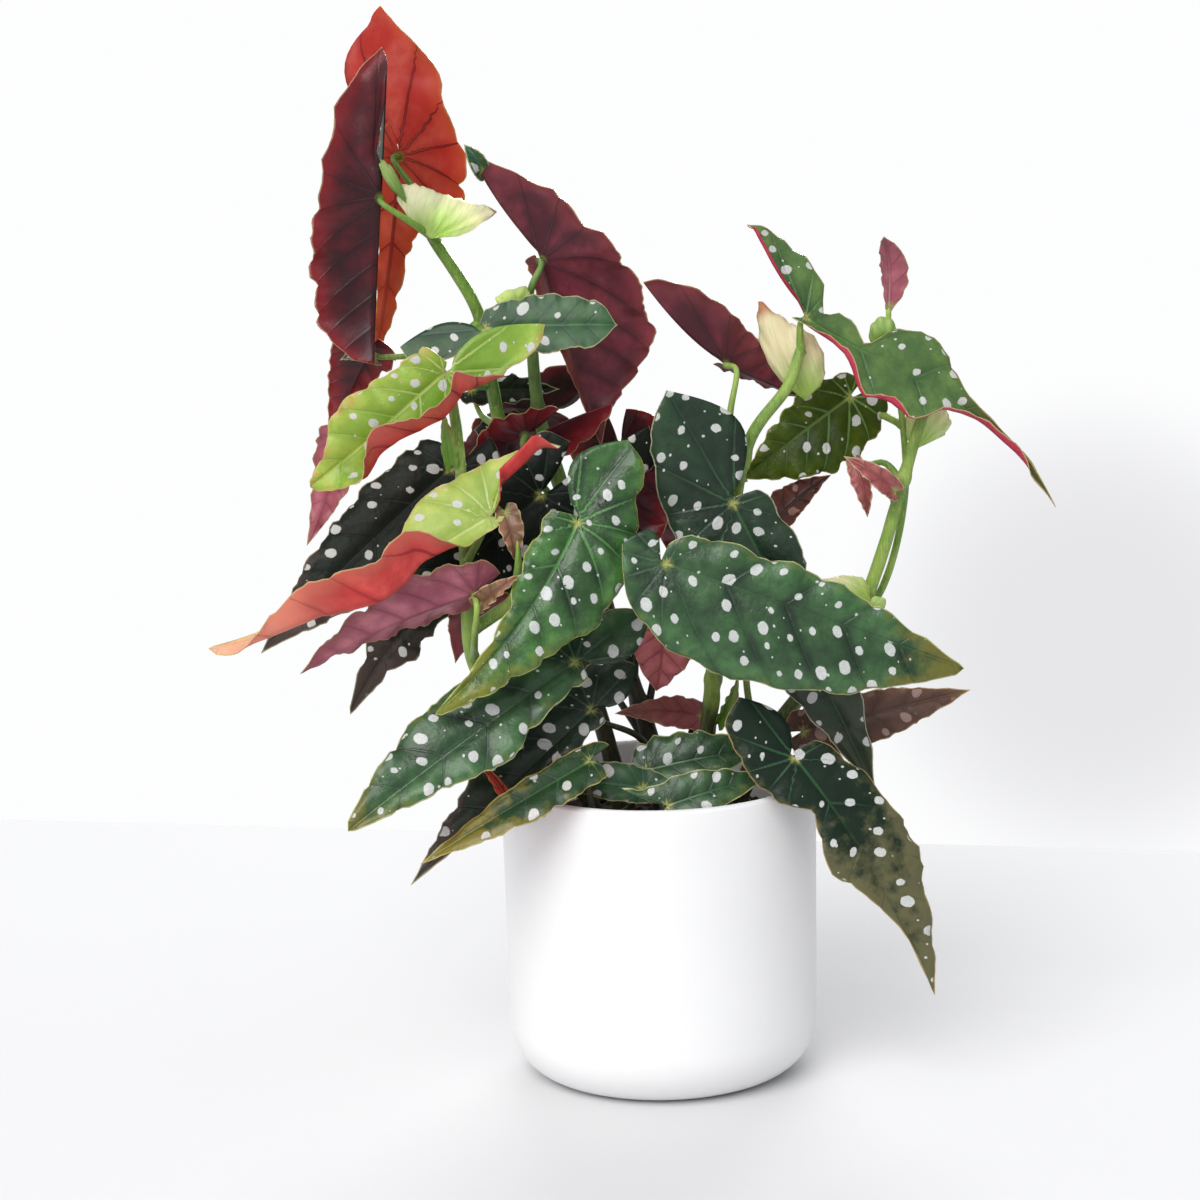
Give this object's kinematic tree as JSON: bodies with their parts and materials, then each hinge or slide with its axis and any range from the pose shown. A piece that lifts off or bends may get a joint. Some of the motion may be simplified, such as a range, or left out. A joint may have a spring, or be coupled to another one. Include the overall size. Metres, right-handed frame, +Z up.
{
  "type": "potted plant",
  "caption": "Spotted cane begonia with large lopsided wing-shaped leaves, green above and red below, standing in a plain white cylindrical pot with a rounded foot.",
  "frame": {"origin": "centre of the pot's flat underside, on the surface that the pot stands on", "axes": "+Z up, -Y towards the side that the picture shows, +X to the right in the picture"},
  "size_m": [0.3881, 0.2244, 0.5067],
  "materials": {
    "pot": "satin white",
    "soil": "loose dark potting mix",
    "cane": "smooth waxy green, darker in the shade",
    "leaf_green": "glossy dark green with silvery white spots",
    "leaf_lime": "glossy lime green with pale spots",
    "leaf_burgundy": "satin burgundy underside",
    "leaf_red": "satin bright red underside, lit from behind",
    "leaf_bronze": "satin brownish mauve with pale spots",
    "sheath": "dry cream green"
  },
  "bodies": {
    "root": {"pot": "pot", "soil": "soil", "cane_left_tall": "cane", "cane_left_front": "cane", "cane_middle": "cane", "cane_right_inner": "cane", "cane_right_outer": "cane", "leaf_crown_red": "leaf_red", "leaf_crown_dark": "leaf_burgundy", "leaf_crown_low": "leaf_burgundy", "leaf_back_burgundy": "leaf_burgundy", "leaf_back_wine": "leaf_burgundy", "leaf_right_top": "leaf_green", "leaf_left_high": "leaf_green", "leaf_lime_high": "leaf_lime", "leaf_lime_low": "leaf_lime", "leaf_mauve": "leaf_bronze", "leaf_left_dark": "leaf_green", "leaf_left_pink": "leaf_bronze", "leaf_centre_red": "leaf_burgundy", "leaf_centre_black": "leaf_burgundy", "leaf_centre_bright": "leaf_green", "leaf_centre_teal": "leaf_green", "leaf_right_olive": "leaf_green", "leaf_right_long": "leaf_green", "leaf_front_big": "leaf_green", "leaf_front_left": "leaf_green", "leaf_low_left": "leaf_green", "leaf_right_brown": "leaf_bronze", "leaf_droop_right": "leaf_green", "leaf_rim_left": "leaf_green", "leaf_rim_dark": "leaf_green", "leaf_rim_front": "leaf_green", "leaf_rim_inner": "leaf_green", "leaf_right_bronze": "leaf_bronze", "leaf_young_red": "leaf_burgundy", "leaf_curl_pink": "leaf_burgundy", "leaf_curl_salmon": "leaf_red", "leaf_low_pink": "leaf_red", "leaf_low_wine": "leaf_burgundy", "leaf_shadow_high": "leaf_green", "leaf_shadow_low": "leaf_burgundy", "leaf_rear_high": "leaf_green", "leaf_rear_middle": "leaf_green", "leaf_rear_left": "leaf_green", "leaf_rear_right": "leaf_green", "leaf_rear_low": "leaf_green", "sheath_crown": "sheath", "sheath_middle": "sheath", "sheath_right_cream": "sheath", "sheath_right_green": "sheath", "sheath_right_fan": "sheath", "sheath_right_low": "sheath", "sheath_low_dark": "sheath", "sheath_left_front": "sheath"}
  },
  "joints": []
}
